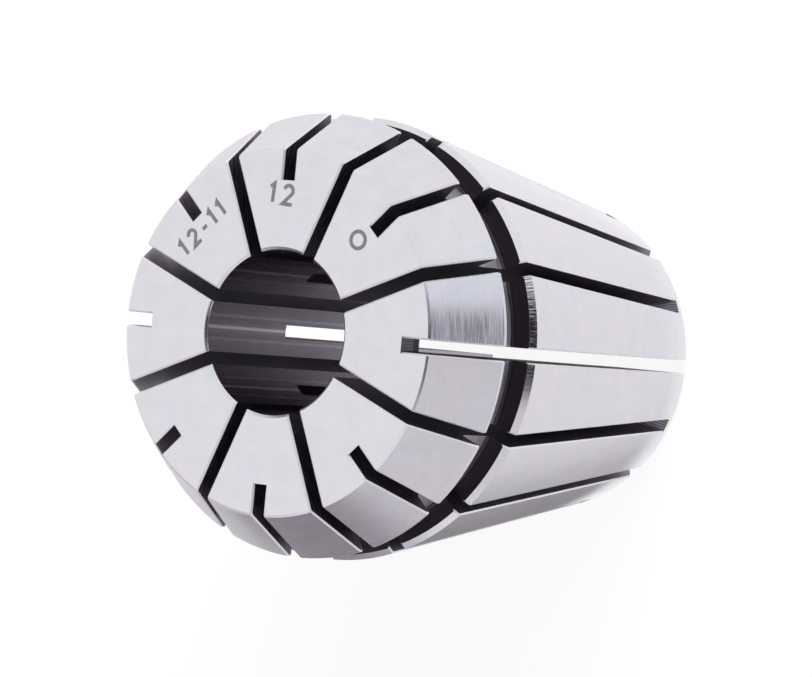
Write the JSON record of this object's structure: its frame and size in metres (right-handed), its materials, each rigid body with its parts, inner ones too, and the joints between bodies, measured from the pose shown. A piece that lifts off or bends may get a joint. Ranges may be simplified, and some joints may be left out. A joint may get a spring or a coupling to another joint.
{
  "type": "spring collet",
  "caption": "Slotted spring collet with an outer taper, a nut groove and a conical nose, for holding the straight shank of a cutting tool.",
  "frame": {"origin": "centre of the narrow rear end face, on the collet's axis", "axes": "+Z along the axis and out of the wide slotted front face; the part is symmetric about it, with a rear slot on +X"},
  "size_m": [0.0328, 0.0328, 0.04],
  "materials": {
    "spring_steel": "hardened spring steel, ground on the taper, nose and bore and turned in the groove, with sawn slots"
  },
  "bodies": {
    "root": {"collet": "spring_steel"}
  },
  "joints": []
}
